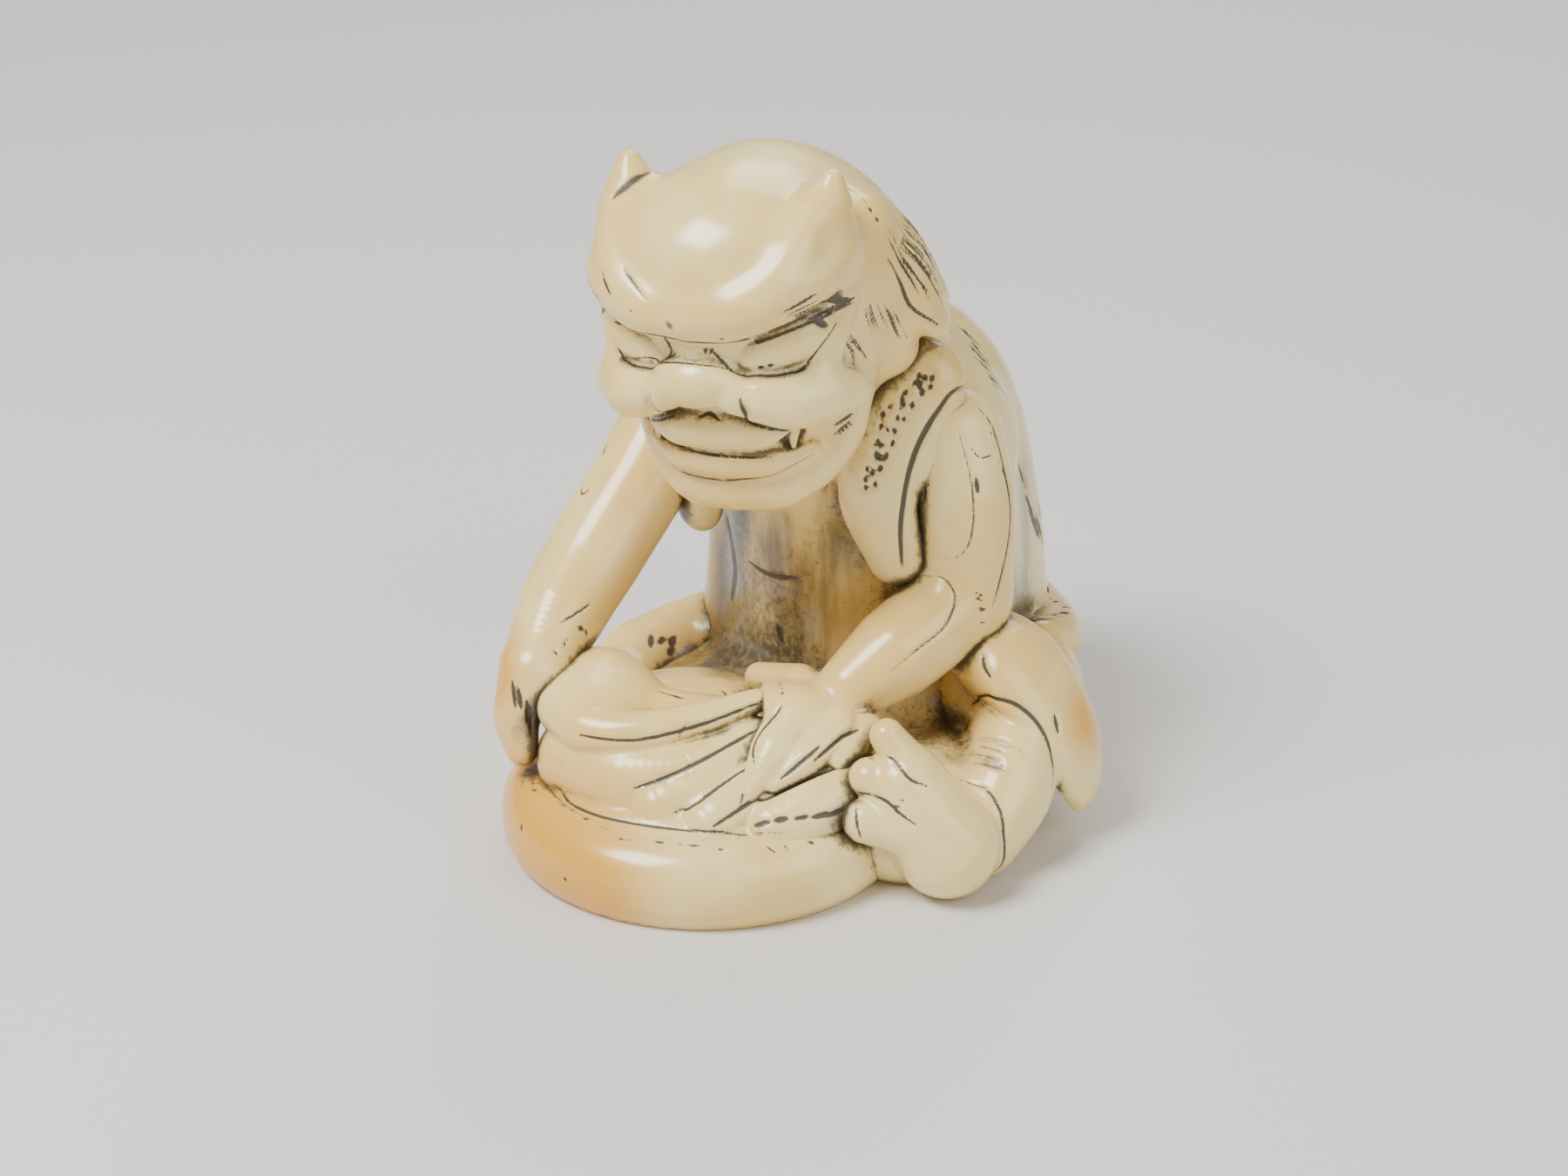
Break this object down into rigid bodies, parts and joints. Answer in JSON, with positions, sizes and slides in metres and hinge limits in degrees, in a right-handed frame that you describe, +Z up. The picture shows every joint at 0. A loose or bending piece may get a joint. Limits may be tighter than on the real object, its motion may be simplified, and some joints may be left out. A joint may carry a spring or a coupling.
{
  "type": "netsuke",
  "caption": "Carved ivory netsuke of a kneeling horned demon that leans over a round tray and presses down the cloth covering it",
  "frame": {"origin": "middle of the object's box, on the flat underside", "axes": "+Z up, -Y to the side that the tray and the face are on, +X to the demon's left"},
  "size_m": [0.0296, 0.035, 0.0352],
  "materials": {
    "ivory": "polished ivory, cream with honey-coloured patina and dark brown stain in the cuts"
  },
  "bodies": {
    "root": {"carving": "ivory"}
  },
  "joints": []
}
